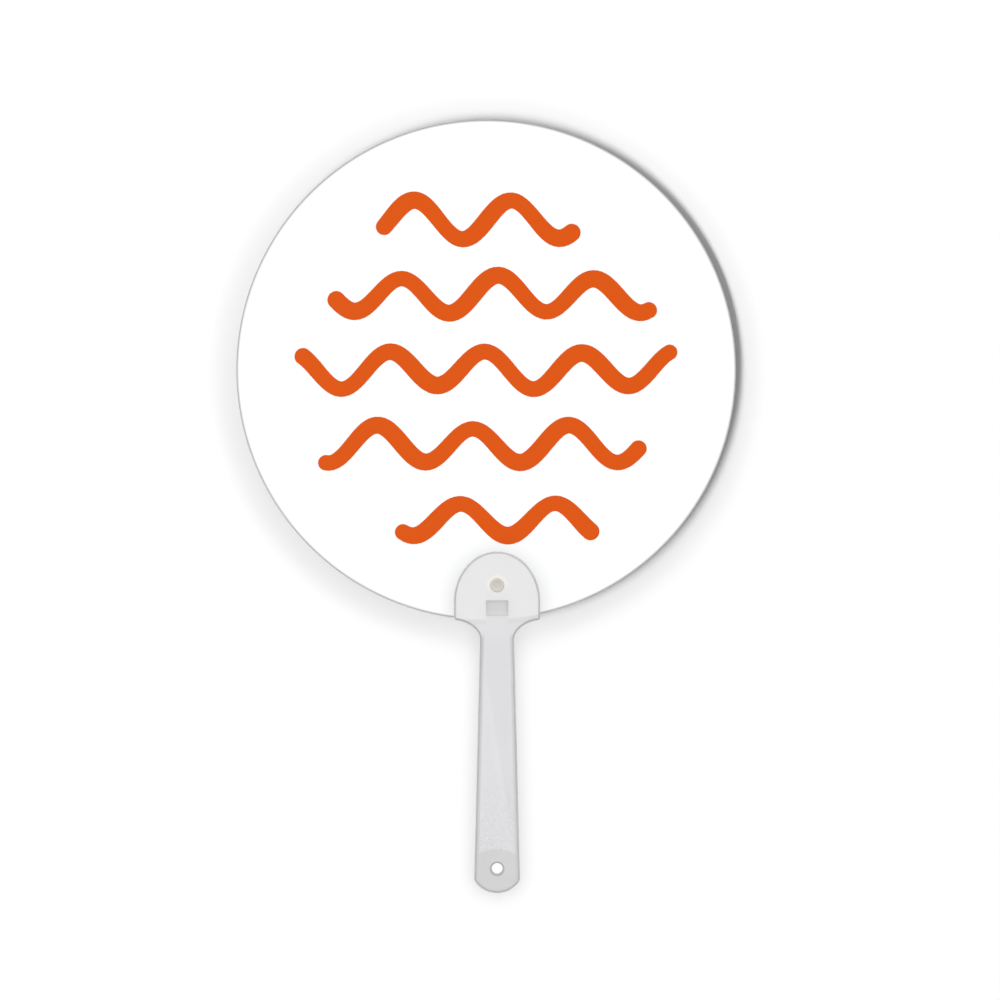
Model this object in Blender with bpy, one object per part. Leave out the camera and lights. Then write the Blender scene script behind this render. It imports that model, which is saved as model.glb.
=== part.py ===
"""Round hand fan: a sheet blade clamped in the head of a moulded handle by a plate and a snap rivet.

The fan lies on its back. +Z points out of its printed front and +Y runs from the handle to the top
of the blade. The origin is at the middle of the fan's length, on the blade's centre line, at the
height of the surface that the fan lies on. All lengths are in metres.
"""
import math

import bmesh
import bpy

# Blade: a disc cut from plastic sheet
BLADE_DIAMETER = 0.240
BLADE_THICKNESS = 0.0008
BLADE_EDGE_CHAMFER = 0.00015

# Handle: its axis stands a little to the right of the blade's centre
HANDLE_AXIS_X = 0.0052
HANDLE_LENGTH = 0.1638
HEAD_LAP = 0.0326
HEAD_WIDTH = 0.0413
HEAD_SIDE_LENGTH = 0.0086
LIP_THICKNESS = 0.0015
SHOULDER_RUN = 0.0148
SHOULDER_RISE = 0.0098
NECK_WIDTH = 0.0163
END_WIDTH = 0.0219
END_SAGITTA = 0.0062
HANDLE_FRONT_RADIUS = 0.0010
HANDLE_BACK_RADIUS = 0.0004

# Grip panel: a shallow recess in the front of the stem, with the raised pad of the hang hole below it
PANEL_DEPTH = 0.0003
PANEL_SIDE_MARGIN = 0.0020
PANEL_RIM_DISTANCE = 0.0030
PANEL_END_DISTANCE = 0.0212
PANEL_CORNER_RADIUS = 0.0025
PAD_TOP_SAGITTA = 0.0024

# Hang hole in the end of the stem
HANG_HOLE_DIAMETER = 0.0058
HANG_HOLE_CHAMFER = 0.0005
HANG_HOLE_END_DISTANCE = 0.0117

# Rear clamp plate: its key stands in a notch of the blade and a window of the handle's lip
CLAMP_WEB_THICKNESS = 0.0006
CLAMP_EDGE_RADIUS = 0.0006
WINDOW_WIDTH = 0.0106
WINDOW_HEIGHT = 0.0074
WINDOW_RIM_MARGIN = 0.0018
KEY_TOP_RECESS = 0.0004
KEY_EDGE_CHAMFER = 0.0003
KEY_ROOT_SHARE = 0.5

# Rivet stud, pushed in from the front
RIVET_WINDOW_DISTANCE = 0.0073
RIVET_HEAD_DIAMETER = 0.0067
RIVET_HEAD_THICKNESS = 0.0009
RIVET_HEAD_RECESS = 0.0007
RIVET_HEAD_EDGE_RADIUS = 0.0004
RIVET_DIMPLE_DIAMETER = 0.0036
RIVET_DIMPLE_DEPTH = 0.00035
RIVET_DIMPLE_FLOOR_SHARE = 0.6
RIVET_SHANK_DIAMETER = 0.0028
RIVET_BARB = 0.0005
RIVET_BARB_LENGTH = 0.0008
RIVET_BARB_STRAIGHT_SHARE = 0.4
RIVET_SLOT_WIDTH = 0.0007
RIVET_SLOT_LENGTH = 0.0019

# Rivet socket, set flush in the back
SOCKET_RECESS = 0.0002
SOCKET_FLANGE_THICKNESS = 0.0006
SOCKET_FLANGE_OVERHANG = 0.0009
SOCKET_WALL = 0.0006
SOCKET_TIP_RECESS = 0.0003

# Clearances
FIT_GAP = 0.0003
CUT_OVERRUN = 0.0010
MERGE_DISTANCE = 0.000001

# Segment counts
BLADE_SEGMENTS = 180
TURNED_SEGMENTS = 48
DOME_SEGMENTS = 20
SHOULDER_SEGMENTS = 10
END_SEGMENTS = 16
CORNER_SEGMENTS = 6
EDGE_SEGMENTS = 3

# Shading: edges sharper than the angle (in degrees) and level faces stay crisp
SMOOTH_ANGLE = 35
LEVEL_NORMAL = 0.999

# Heights, from the back face up
FLANGE_TOP_Z = SOCKET_RECESS + SOCKET_FLANGE_THICKNESS
FLANGE_SEAT_Z = FLANGE_TOP_Z + FIT_GAP
CLAMP_TOP_Z = FLANGE_SEAT_Z + CLAMP_WEB_THICKNESS
BLADE_BOTTOM_Z = CLAMP_TOP_Z + FIT_GAP
BLADE_TOP_Z = BLADE_BOTTOM_Z + BLADE_THICKNESS
LIP_BOTTOM_Z = BLADE_TOP_Z + FIT_GAP
FRONT_Z = LIP_BOTTOM_Z + LIP_THICKNESS

# Radii of the snap rivet, from its axis out
SHANK_RADIUS = RIVET_SHANK_DIAMETER / 2
THROAT_RADIUS = SHANK_RADIUS + FIT_GAP
BARB_RADIUS = SHANK_RADIUS + RIVET_BARB
BORE_RADIUS = BARB_RADIUS + FIT_GAP
BARREL_RADIUS = BORE_RADIUS + SOCKET_WALL
BARREL_HOLE_RADIUS = BARREL_RADIUS + FIT_GAP
FLANGE_RADIUS = BARREL_HOLE_RADIUS + SOCKET_FLANGE_OVERHANG

# Places along the fan: the rim is where the handle's axis crosses the blade's edge
BLADE_RADIUS = BLADE_DIAMETER / 2
RIM_DEPTH = math.sqrt(BLADE_RADIUS ** 2 - HANDLE_AXIS_X ** 2)
FAN_LENGTH = BLADE_RADIUS + RIM_DEPTH + HANDLE_LENGTH - HEAD_LAP
BLADE_CENTRE_Y = FAN_LENGTH / 2 - BLADE_RADIUS
RIM_Y = BLADE_CENTRE_Y - RIM_DEPTH
TIP_Y = RIM_Y + HEAD_LAP
END_Y = TIP_Y - HANDLE_LENGTH
END_CORNER_Y = END_Y + END_SAGITTA
NECK_Y = RIM_Y - SHOULDER_RISE
HANG_HOLE_Y = END_Y + HANG_HOLE_END_DISTANCE
WINDOW_LOW_Y = RIM_Y + WINDOW_RIM_MARGIN
WINDOW_HIGH_Y = WINDOW_LOW_Y + WINDOW_HEIGHT
RIVET_Y = WINDOW_HIGH_Y + RIVET_WINDOW_DISTANCE


def clear_scene():
    """Remove every object, so that the model starts from an empty scene."""
    for item in list(bpy.data.objects):
        bpy.data.objects.remove(item, do_unlink=True)


def plastic(name, colour, roughness):
    """Return a plastic material with the given linear colour and roughness."""
    material = bpy.data.materials.new(name)
    material.use_nodes = True
    shader = material.node_tree.nodes["Principled BSDF"]
    shader.inputs["Base Color"].default_value = (*colour, 1.0)
    shader.inputs["Roughness"].default_value = roughness
    shader.inputs["Metallic"].default_value = 0.0
    return material


def add_object(name, shape, material=None):
    """Turn a bmesh into an object with flat level faces and smooth round ones."""
    bmesh.ops.recalc_face_normals(shape, faces=shape.faces)
    mesh = bpy.data.meshes.new(name)
    shape.to_mesh(mesh)
    shape.free()
    mesh.shade_smooth()
    mesh.set_sharp_from_angle(angle=math.radians(SMOOTH_ANGLE))
    for polygon in mesh.polygons:
        polygon.use_smooth = abs(polygon.normal.z) < LEVEL_NORMAL
    item = bpy.data.objects.new(name, mesh)
    bpy.context.collection.objects.link(item)
    if material:
        mesh.materials.append(material)
    return item


def arc(centre, radii, start, end, segments):
    """Return the points of an elliptical arc between two angles in degrees, both ends included."""
    points = []
    for step in range(segments + 1):
        angle = math.radians(start + (end - start) * step / segments)
        points.append((centre[0] + radii[0] * math.cos(angle), centre[1] + radii[1] * math.sin(angle)))
    return points


def mirrored(right_side):
    """Close an outline from its right side, which starts and ends on the handle's axis."""
    right = [(HANDLE_AXIS_X + u, y) for u, y in right_side]
    left = [(HANDLE_AXIS_X - u, y) for u, y in reversed(right_side[1:-1])]
    return right + left


def prism(outline, low, high, low_radius=0.0, high_radius=0.0, segments=1):
    """Extrude an outline between two heights, with its lower and upper edges rounded."""
    shape = bmesh.new()
    base = shape.faces.new([shape.verts.new((x, y, low)) for x, y in outline])
    lifted = bmesh.ops.extrude_face_region(shape, geom=[base], use_keep_orig=True)
    for vertex in lifted["geom"]:
        if isinstance(vertex, bmesh.types.BMVert):
            vertex.co.z = high
    for height, radius in ((low, low_radius), (high, high_radius)):
        if radius:
            loop = [e for e in shape.edges if all(abs(v.co.z - height) < MERGE_DISTANCE for v in e.verts)]
            bmesh.ops.bevel(shape, geom=loop, offset=radius, offset_type="OFFSET", segments=segments,
                            profile=0.5, affect="EDGES", clamp_overlap=True)
    return shape


def turned(profile, y, hollow=False):
    """Turn a profile of (radius, height) points about the handle's axis line at the given y."""
    shape = bmesh.new()
    vertices = [shape.verts.new((HANDLE_AXIS_X + radius, y, height)) for radius, height in profile]
    edges = [shape.edges.new(pair) for pair in zip(vertices, vertices[1:])]
    if hollow:
        edges.append(shape.edges.new((vertices[-1], vertices[0])))
    bmesh.ops.spin(shape, geom=vertices + edges, cent=(HANDLE_AXIS_X, y, 0.0), axis=(0.0, 0.0, 1.0),
                   angle=math.tau, steps=TURNED_SEGMENTS, use_merge=True)
    bmesh.ops.remove_doubles(shape, verts=shape.verts, dist=MERGE_DISTANCE)
    return shape


def four_corners(high_half_width, high_y, low_half_width, low_y):
    """Return a straight-sided outline that is centred on the handle's axis and runs clockwise."""
    return [
        (HANDLE_AXIS_X + high_half_width, high_y), (HANDLE_AXIS_X + low_half_width, low_y),
        (HANDLE_AXIS_X - low_half_width, low_y), (HANDLE_AXIS_X - high_half_width, high_y),
    ]


def box(half_width, low_y, high_y, low_z, high_z):
    """Return a box that is centred on the handle's axis."""
    return prism(four_corners(half_width, high_y, half_width, low_y), low_z, high_z)


def apply_tool(item, tool_name, shape, operation="DIFFERENCE"):
    """Cut a shape from an object, or join it on, with an exact Boolean."""
    tool = add_object(tool_name, shape)
    tool.hide_render = True
    tool.display_type = "WIRE"
    modifier = item.modifiers.new(tool_name, "BOOLEAN")
    modifier.operation = operation
    modifier.solver = "EXACT"
    modifier.object = tool


def round_corner(before, corner, after, radius):
    """Return the arc that rounds a convex corner of an outline that runs clockwise."""
    back, ahead = [math.atan2(end[1] - corner[1], end[0] - corner[0]) for end in (before, after)]
    half_angle = ((ahead - back) % math.tau) / 2
    middle = back + half_angle
    reach = radius / math.sin(half_angle)
    centre = (corner[0] + reach * math.cos(middle), corner[1] + reach * math.sin(middle))
    start = math.degrees(back) - 90
    sweep = 180 - math.degrees(2 * half_angle)
    return arc(centre, (radius, radius), start, start - sweep, CORNER_SEGMENTS)


def cap_arc(half_width, sagitta, top_y, segments):
    """Return the arc of a round top on the handle's axis, from its right end to its left one."""
    radius = (half_width ** 2 + sagitta ** 2) / (2 * sagitta)
    half_sweep = math.degrees(math.atan2(half_width, radius - sagitta))
    centre = (HANDLE_AXIS_X, top_y - radius)
    return arc(centre, (radius, radius), 90 - half_sweep, 90 + half_sweep, segments)


def stem_half_width(y):
    """Return half the stem's width at a place along it, which grows from the neck to the end."""
    share = (NECK_Y - y) / (NECK_Y - END_CORNER_Y)
    return (NECK_WIDTH + (END_WIDTH - NECK_WIDTH) * share) / 2


def dome_points():
    """Return the right side of the head's dome, from its tip down to its straight side."""
    dome_base_y = RIM_Y + HEAD_SIDE_LENGTH
    return arc((0.0, dome_base_y), (HEAD_WIDTH / 2, TIP_Y - dome_base_y), 90, 0, DOME_SEGMENTS)


def handle_points():
    """Return the right side of the handle: dome, shoulder, stem and round end."""
    centre = (NECK_WIDTH / 2 + SHOULDER_RUN, NECK_Y)
    reach_share = max(-1.0, min(0.0, (HEAD_WIDTH / 2 - centre[0]) / SHOULDER_RUN))
    start = math.degrees(math.acos(reach_share))
    shoulder = arc(centre, (SHOULDER_RUN, SHOULDER_RISE), start, 180, SHOULDER_SEGMENTS)
    if HEAD_WIDTH / 2 - shoulder[0][0] > MERGE_DISTANCE:
        shoulder.insert(0, (HEAD_WIDTH / 2, RIM_Y))
    end_radius = ((END_WIDTH / 2) ** 2 + END_SAGITTA ** 2) / (2 * END_SAGITTA)
    half_sweep = math.degrees(math.atan2(END_WIDTH / 2, end_radius - END_SAGITTA))
    end_centre = (0.0, END_Y + end_radius)
    end = arc(end_centre, (end_radius, end_radius), half_sweep - 90, -90, END_SEGMENTS // 2)
    return dome_points() + shoulder + end


def build_blade(material):
    """Make the sheet disc, with the socket's hole and the key's notch in its lower edge."""
    outline = arc((0.0, BLADE_CENTRE_Y), (BLADE_RADIUS, BLADE_RADIUS), 0, 360, BLADE_SEGMENTS)[:-1]
    disc = prism(outline, BLADE_BOTTOM_Z, BLADE_TOP_Z, BLADE_EDGE_CHAMFER, BLADE_EDGE_CHAMFER)
    blade = add_object("blade", disc, material)
    low = BLADE_BOTTOM_Z - CUT_OVERRUN
    high = BLADE_TOP_Z + CUT_OVERRUN
    hole = turned([(0.0, low), (BARREL_HOLE_RADIUS, low), (BARREL_HOLE_RADIUS, high), (0.0, high)], RIVET_Y)
    apply_tool(blade, "blade_rivet_hole_cutter", hole)
    notch = box(WINDOW_WIDTH / 2, RIM_Y - CUT_OVERRUN, WINDOW_HIGH_Y, low, high)
    apply_tool(blade, "blade_notch_cutter", notch)


def build_handle(material):
    """Make the one-piece handle: a stem whose head laps over the front of the blade as a lip."""
    outline = mirrored(handle_points())
    front_radius = min(HANDLE_FRONT_RADIUS, LIP_THICKNESS)
    body = prism(outline, 0.0, FRONT_Z, HANDLE_BACK_RADIUS, front_radius, EDGE_SEGMENTS)
    handle = add_object("handle", body, material)

    low = LIP_BOTTOM_Z - CUT_OVERRUN
    high = FRONT_Z + CUT_OVERRUN
    window = box(WINDOW_WIDTH / 2, WINDOW_LOW_Y, WINDOW_HIGH_Y, low, high)
    apply_tool(handle, "lip_window_cutter", window)

    head_seat_z = FRONT_Z - RIVET_HEAD_RECESS
    head_seat_radius = RIVET_HEAD_DIAMETER / 2 + FIT_GAP
    rivet_hole = turned([
        (0.0, low), (THROAT_RADIUS, low), (THROAT_RADIUS, head_seat_z),
        (head_seat_radius, head_seat_z), (head_seat_radius, high), (0.0, high),
    ], RIVET_Y)
    apply_tool(handle, "lip_rivet_hole_cutter", rivet_hole)

    panel_high_y = RIM_Y - PANEL_RIM_DISTANCE
    pad_top_y = END_Y + PANEL_END_DISTANCE
    panel_low_y = pad_top_y - PAD_TOP_SAGITTA
    top = min(stem_half_width(panel_high_y), NECK_WIDTH / 2) - PANEL_SIDE_MARGIN
    foot = stem_half_width(panel_low_y) - PANEL_SIDE_MARGIN
    high_right, low_right, low_left, high_left = four_corners(top, panel_high_y, foot, panel_low_y)
    panel_outline = round_corner(high_left, high_right, low_right, PANEL_CORNER_RADIUS)
    panel_outline += cap_arc(foot, PAD_TOP_SAGITTA, pad_top_y, END_SEGMENTS)
    panel_outline += round_corner(low_left, high_left, high_right, PANEL_CORNER_RADIUS)
    apply_tool(handle, "grip_panel_cutter", prism(panel_outline, FRONT_Z - PANEL_DEPTH, high))

    hole_radius = HANG_HOLE_DIAMETER / 2
    mouth_radius = hole_radius + HANG_HOLE_CHAMFER + CUT_OVERRUN
    hang_hole = turned([
        (0.0, -CUT_OVERRUN), (mouth_radius, -CUT_OVERRUN), (hole_radius, HANG_HOLE_CHAMFER),
        (hole_radius, FRONT_Z - HANG_HOLE_CHAMFER), (mouth_radius, high), (0.0, high),
    ], HANG_HOLE_Y)
    apply_tool(handle, "hang_hole_cutter", hang_hole)

    seat_radius = BLADE_RADIUS + FIT_GAP
    seat = arc((0.0, BLADE_CENTRE_Y), (seat_radius, seat_radius), 0, 360, BLADE_SEGMENTS)[:-1]
    apply_tool(handle, "blade_seat_cutter", prism(seat, -CUT_OVERRUN, LIP_BOTTOM_Z))


def build_rear_clamp_plate(material):
    """Make the plate that closes the head from behind, with the key that stops the blade turning."""
    right_dome = [(HANDLE_AXIS_X + u, y) for u, y in dome_points()]
    left_dome = [(HANDLE_AXIS_X - u, y) for u, y in reversed(dome_points()[1:])]
    sides = (HANDLE_AXIS_X + HEAD_WIDTH / 2, HANDLE_AXIS_X - HEAD_WIDTH / 2)
    start, end = [-math.degrees(math.acos(x / BLADE_RADIUS)) for x in sides]
    rim = arc((0.0, BLADE_CENTRE_Y), (BLADE_RADIUS, BLADE_RADIUS), start, end, DOME_SEGMENTS)
    outline = right_dome + rim + left_dome
    plate = prism(outline, 0.0, CLAMP_TOP_Z, min(CLAMP_EDGE_RADIUS, CLAMP_TOP_Z), 0.0, EDGE_SEGMENTS)
    clamp = add_object("rear_clamp_plate", plate, material)

    key = box(WINDOW_WIDTH / 2 - FIT_GAP, WINDOW_LOW_Y + FIT_GAP, WINDOW_HIGH_Y - FIT_GAP,
              CLAMP_TOP_Z * KEY_ROOT_SHARE, FRONT_Z - KEY_TOP_RECESS)
    crown = [edge for edge in key.edges if all(v.co.z > CLAMP_TOP_Z for v in edge.verts)]
    bmesh.ops.bevel(key, geom=crown, offset=KEY_EDGE_CHAMFER, offset_type="OFFSET", segments=1,
                    profile=0.5, affect="EDGES", clamp_overlap=True)
    apply_tool(clamp, "clamp_key", key, "UNION")

    flange_seat_radius = FLANGE_RADIUS + FIT_GAP
    high = CLAMP_TOP_Z + CUT_OVERRUN
    socket_hole = turned([
        (0.0, -CUT_OVERRUN), (flange_seat_radius, -CUT_OVERRUN), (flange_seat_radius, FLANGE_SEAT_Z),
        (BARREL_HOLE_RADIUS, FLANGE_SEAT_Z), (BARREL_HOLE_RADIUS, high), (0.0, high),
    ], RIVET_Y)
    apply_tool(clamp, "clamp_socket_hole_cutter", socket_hole)


def build_rivet_stud(material):
    """Make the front half of the snap rivet: a dimpled head and a slotted, barbed shank."""
    head_bottom_z = FRONT_Z - RIVET_HEAD_RECESS + FIT_GAP
    head_top_z = head_bottom_z + RIVET_HEAD_THICKNESS
    head_radius = RIVET_HEAD_DIAMETER / 2
    dimple_radius = RIVET_DIMPLE_DIAMETER / 2
    dimple_z = head_top_z - RIVET_DIMPLE_DEPTH
    edge_radius = min(RIVET_HEAD_EDGE_RADIUS, RIVET_HEAD_THICKNESS)
    edge_centre = (head_radius - edge_radius, head_top_z - edge_radius)
    tip_z = SOCKET_RECESS + SOCKET_TIP_RECESS
    barb_top_z = tip_z + RIVET_BARB_LENGTH
    barb_straight_z = barb_top_z - RIVET_BARB_LENGTH * RIVET_BARB_STRAIGHT_SHARE
    profile = [(0.0, dimple_z), (dimple_radius * RIVET_DIMPLE_FLOOR_SHARE, dimple_z)]
    profile += [(dimple_radius, head_top_z)]
    profile += arc(edge_centre, (edge_radius, edge_radius), 90, 0, EDGE_SEGMENTS)
    profile += [(head_radius, head_bottom_z), (SHANK_RADIUS, head_bottom_z), (SHANK_RADIUS, barb_top_z)]
    profile += [(BARB_RADIUS, barb_top_z), (BARB_RADIUS, barb_straight_z)]
    profile += [(SHANK_RADIUS, tip_z), (0.0, tip_z)]
    stud = add_object("rivet_stud", turned(profile, RIVET_Y), material)

    slot_reach = BARB_RADIUS + CUT_OVERRUN
    slot = box(RIVET_SLOT_WIDTH / 2, RIVET_Y - slot_reach, RIVET_Y + slot_reach,
               tip_z - CUT_OVERRUN, tip_z + RIVET_SLOT_LENGTH)
    apply_tool(stud, "stud_slot_cutter", slot)


def build_rivet_socket(material):
    """Make the rear half of the snap rivet: a flanged barrel whose throat holds the stud's barb."""
    throat_z = SOCKET_RECESS + SOCKET_TIP_RECESS + RIVET_BARB_LENGTH + FIT_GAP
    barrel_top_z = LIP_BOTTOM_Z - FIT_GAP
    profile = [
        (BORE_RADIUS, SOCKET_RECESS), (FLANGE_RADIUS, SOCKET_RECESS), (FLANGE_RADIUS, FLANGE_TOP_Z),
        (BARREL_RADIUS, FLANGE_TOP_Z), (BARREL_RADIUS, barrel_top_z), (THROAT_RADIUS, barrel_top_z),
        (THROAT_RADIUS, throat_z), (BORE_RADIUS, throat_z),
    ]
    add_object("rivet_socket", turned(profile, RIVET_Y, hollow=True), material)


def main():
    """Build the five pieces of the fan."""
    clear_scene()
    frosted = plastic("frosted_handle_plastic", (0.80, 0.80, 0.80), 0.45)
    frosted_plate = plastic("frosted_plate_plastic", (0.76, 0.76, 0.76), 0.45)
    sheet = plastic("white_sheet", (0.92, 0.92, 0.92), 0.35)
    stud_nylon = plastic("stud_nylon", (0.62, 0.58, 0.52), 0.40)
    socket_nylon = plastic("socket_nylon", (0.60, 0.56, 0.50), 0.45)
    build_blade(sheet)
    build_handle(frosted)
    build_rear_clamp_plate(frosted_plate)
    build_rivet_stud(stud_nylon)
    build_rivet_socket(socket_nylon)


main()
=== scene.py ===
"""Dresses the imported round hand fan: sheet, printed ink, moulded handle, clamp plate and snap rivet.

The fan lies on its back, with its printed front up. Lengths are in metres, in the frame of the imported
model. Every piece takes its place from the box of the node that it stands for.
"""
import logging
import math
from collections.abc import Callable, Sequence
from dataclasses import dataclass, replace
from enum import Enum

import bpy
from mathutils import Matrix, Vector


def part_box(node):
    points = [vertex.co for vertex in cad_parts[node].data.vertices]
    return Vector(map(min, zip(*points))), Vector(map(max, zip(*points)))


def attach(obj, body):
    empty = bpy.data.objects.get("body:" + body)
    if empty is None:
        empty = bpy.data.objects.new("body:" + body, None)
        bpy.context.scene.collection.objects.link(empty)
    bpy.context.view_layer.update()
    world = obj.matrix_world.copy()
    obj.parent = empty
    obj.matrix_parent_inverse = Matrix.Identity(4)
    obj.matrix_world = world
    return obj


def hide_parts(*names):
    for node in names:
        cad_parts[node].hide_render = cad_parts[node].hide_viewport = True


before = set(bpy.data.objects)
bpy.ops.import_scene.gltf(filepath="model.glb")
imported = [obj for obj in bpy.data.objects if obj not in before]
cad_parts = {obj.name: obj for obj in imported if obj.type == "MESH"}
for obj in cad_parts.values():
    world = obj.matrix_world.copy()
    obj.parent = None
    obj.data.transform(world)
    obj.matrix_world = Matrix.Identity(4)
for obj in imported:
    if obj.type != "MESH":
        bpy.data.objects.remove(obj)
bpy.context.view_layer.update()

LOG = logging.getLogger("round_hand_fan")
BODY = "root"
TINY = 1e-6
# The gap that stands for two faces that touch
CLEARANCE = 0.0003
# How far a cutter stands past what it cuts
OVERRUN = 0.001
# Of 100, where 50 is even and more lets the large faces lead in the shading
FLAT_WEIGHT = 80
# Light Path counts bounces in whole numbers, so less than this is none
NO_BOUNCE = 0.5
SOFT_STEP = {"interpolation_type": "SMOOTHSTEP"}
TWO_COLOURS = {"data_type": "RGBA"}

Station = tuple[float, float]
Piece = bpy.types.Object
Material = bpy.types.Material
Node = bpy.types.Node
Socket = bpy.types.NodeSocket
Tree = bpy.types.NodeTree


# Colour and shader helpers


def linear(colour: str) -> tuple[float, float, float, float]:
    """Turn an sRGB hex colour into linear light.

    Args:
        colour: The colour, such as "#FAFAFA".

    Returns:
        Red, green and blue in linear light, then an alpha of 1.
    """
    parts = [int(colour[at:at + 2], 16) / 255 for at in (1, 3, 5)]
    red, green, blue = (c / 12.92 if c <= 0.04045 else ((c + 0.055) / 1.055) ** 2.4 for c in parts)
    return red, green, blue, 1.0


def node(tree: Tree, kind: str, settings: dict | None = None) -> Node:
    """Add a node with its settings and links.

    Args:
        tree: The node tree.
        kind: The node's type, without the word ShaderNode in front.
        settings: Properties by name, and inputs by name or number. An input takes a value, a hex colour
            or the socket that feeds it.

    Returns:
        The new node.
    """
    made = tree.nodes.new("ShaderNode" + kind)
    for name, value in (settings or {}).items():
        if isinstance(value, Socket):
            tree.links.new(value, made.inputs[name])
        elif isinstance(name, str) and hasattr(made, name):
            setattr(made, name, value)
        else:
            made.inputs[name].default_value = linear(value) if isinstance(value, str) else value
    return made


def plan_distance(tree: Tree, place: Socket, centre: Sequence[float]) -> Socket:
    """Return how far a place is from a centre, seen from above."""
    flat = node(tree, "VectorMath", {"operation": "MULTIPLY", 0: place, 1: (1, 1, 0)}).outputs[0]
    return node(tree, "VectorMath", {"operation": "DISTANCE", 0: flat, 1: (*centre[:2], 0)}).outputs["Value"]


def white_rays(tree: Tree) -> Socket:
    """Return 1 for the rays that see the background as white: those of the camera, gloss and glass.

    Light that has met a dull surface on its way sees the plain studio, so that shadows stay clear.

    Args:
        tree: The node tree.

    Returns:
        1 or 0.
    """
    path = node(tree, "LightPath")
    seen = path.outputs["Is Camera Ray"]
    for other in ("Is Glossy Ray", "Is Transmission Ray"):
        seen = node(tree, "Math", {"operation": "MAXIMUM", 0: seen, 1: path.outputs[other]}).outputs[0]
    direct = node(tree, "Math", {"operation": "LESS_THAN", 0: path.outputs["Diffuse Depth"], 1: NO_BOUNCE})
    return node(tree, "Math", {"operation": "MULTIPLY", 0: seen, 1: direct.outputs[0]}).outputs[0]


# Finishes


@dataclass(frozen=True, kw_only=True)
class Finish:
    """A surface: what it is made of, and how it was made."""

    name: str
    colour: str
    roughness: float
    ior: float
    specular: float = 0.5
    skin_size: float = 0.0005
    skin_height: float = 0.000006
    skin_detail: float = 2.0
    roughness_swing: float = 0.0

    def start(self) -> tuple[Material, Tree, Node]:
        """Make the material with its Principled shader.

        Returns:
            The material, its node tree and its Principled node.
        """
        material = bpy.data.materials.new(self.name)
        material.use_nodes = True
        tree = material.node_tree
        shader = tree.nodes["Principled BSDF"]
        for name, value in (("Base Color", linear(self.colour)), ("Roughness", self.roughness),
                            ("IOR", self.ior), ("Specular IOR Level", self.specular)):
            shader.inputs[name].default_value = value
        return material, tree, shader

    def add_skin(self, tree: Tree, shader: Node, place: Socket) -> Socket:
        """Give the surface its fine skin, as bump and, where the skin is uneven, as roughness.

        Args:
            tree: The material's node tree.
            shader: Its Principled node.
            place: The place on the piece.

        Returns:
            The skin's pattern, from 0 to 1.
        """
        skin = node(tree, "TexNoise", {"Scale": 1 / self.skin_size, "Detail": self.skin_detail,
                                       "Vector": place}).outputs["Fac"]
        bump = node(tree, "Bump", {"Distance": self.skin_height, "Height": skin})
        tree.links.new(bump.outputs["Normal"], shader.inputs["Normal"])
        if self.roughness_swing:
            dull = node(tree, "MapRange", {"Value": skin, "To Min": self.roughness - self.roughness_swing,
                                           "To Max": self.roughness + self.roughness_swing})
            tree.links.new(dull.outputs[0], shader.inputs["Roughness"])
        return skin

    def make(self) -> Material:
        """Make the finished material."""
        return self.start()[0]


@dataclass(frozen=True, kw_only=True)
class ExtrudedSheet(Finish):
    """Polypropylene sheet, extruded and die cut.

    The eye sees an even satin white with the rollers' faint ripple, and a thin grey line along the rim,
    painted shade for the cut edge that the die rolled over.
    """

    blade: "Blade"
    name: str = "satin white polypropylene sheet"
    colour: str = "#FDFDFD"
    roughness: float = 0.38
    ior: float = 1.49
    # The sheet's tone drifts in clouds about 55 mm wide
    cloud_colour: str = "#FAFBFB"
    cloud_scale: float = 18.0
    cloud_detail: float = 3.0
    # Painted shade: a grey line along the rim, for the rolled cut edge
    rim_shade_colour: str = "#989A9C"
    rim_shade_band: float = 0.0014
    # The rollers leave a ripple about 0.9 mm wide
    skin_size: float = 0.0009
    skin_height: float = 0.000004
    roughness_swing: float = 0.04

    def make(self) -> Material:
        """Make the sheet's material.

        Returns:
            The material.
        """
        material, tree, shader = self.start()
        place = node(tree, "TexCoord").outputs["Object"]
        # Painted shade along the rim, as a grey line
        edge = node(tree, "MapRange", SOFT_STEP | {
            "Value": plan_distance(tree, place, self.blade.centre),
            "From Min": self.blade.radius - self.rim_shade_band, "From Max": self.blade.radius})
        cloud = node(tree, "TexNoise", {
            "Scale": self.cloud_scale, "Detail": self.cloud_detail, "Vector": place}).outputs["Fac"]
        face = node(tree, "Mix", TWO_COLOURS | {0: cloud, 6: self.colour, 7: self.cloud_colour})
        whole = node(tree, "Mix", TWO_COLOURS | {0: edge.outputs[0], 6: face.outputs[2], 7: self.rim_shade_colour})
        tree.links.new(whole.outputs[2], shader.inputs["Base Color"])
        self.add_skin(tree, shader, place)
        return material


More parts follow.
